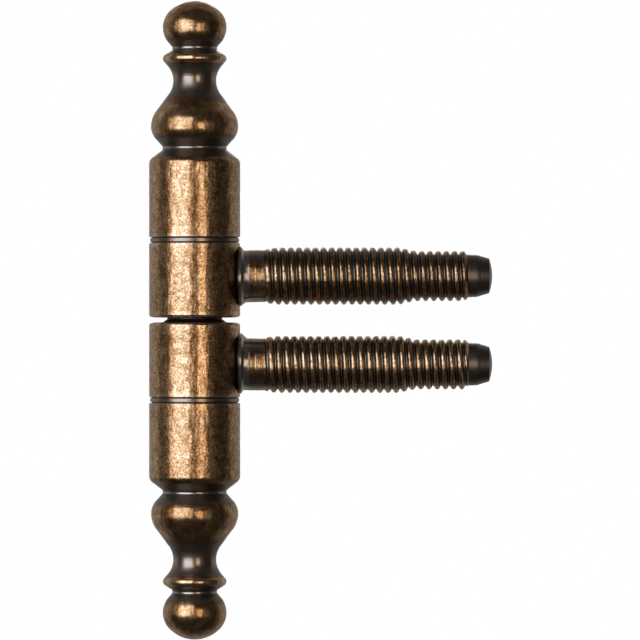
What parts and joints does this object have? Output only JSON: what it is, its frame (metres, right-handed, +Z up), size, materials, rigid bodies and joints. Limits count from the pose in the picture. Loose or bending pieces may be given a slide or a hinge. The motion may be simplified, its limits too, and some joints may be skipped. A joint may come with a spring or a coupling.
{
  "type": "drill-in hinge",
  "caption": "Lift-off barrel hinge with turned finial caps; each leaf screws into the door or the frame by a threaded stud welded to its knuckle.",
  "frame": {"origin": "on the swing axis, midway between the two leaves", "axes": "+Z up the swing axis, from the frame leaf to the door leaf; +X along the studs at rest, away from the barrel; +Y towards the back of the pictured view"},
  "size_m": [0.0525, 0.014, 0.0978],
  "materials": {
    "barrel_bronze": "antique bronze plating on steel, its dark patina rubbed through to copper on raised places, under clear lacquer",
    "stud_bronze": "the same plating, dark in the thread's roots and rubbed to copper along its crests",
    "pin_steel": "ground and lightly oiled",
    "ring_polymer": "smooth black bearing plastic"
  },
  "bodies": {
    "frame_leaf": {"frame_knuckle": "barrel_bronze", "frame_stud": "stud_bronze", "frame_cap": "barrel_bronze", "hinge_pin": "pin_steel"},
    "ring": {"thrust_ring": "ring_polymer"},
    "door_leaf": {"door_knuckle": "barrel_bronze", "door_stud": "stud_bronze", "door_cap": "barrel_bronze"}
  },
  "joints": [
    {"name": "swing", "type": "hinge", "parent": "frame_leaf", "child": "ring", "pos_m": [0, 0, 0], "axis": [0, 0, 1], "continuous": true},
    {"name": "lift", "type": "slide", "parent": "ring", "child": "door_leaf", "axis": [0, 0, 1], "range_m": [0, 0.022]}
  ]
}
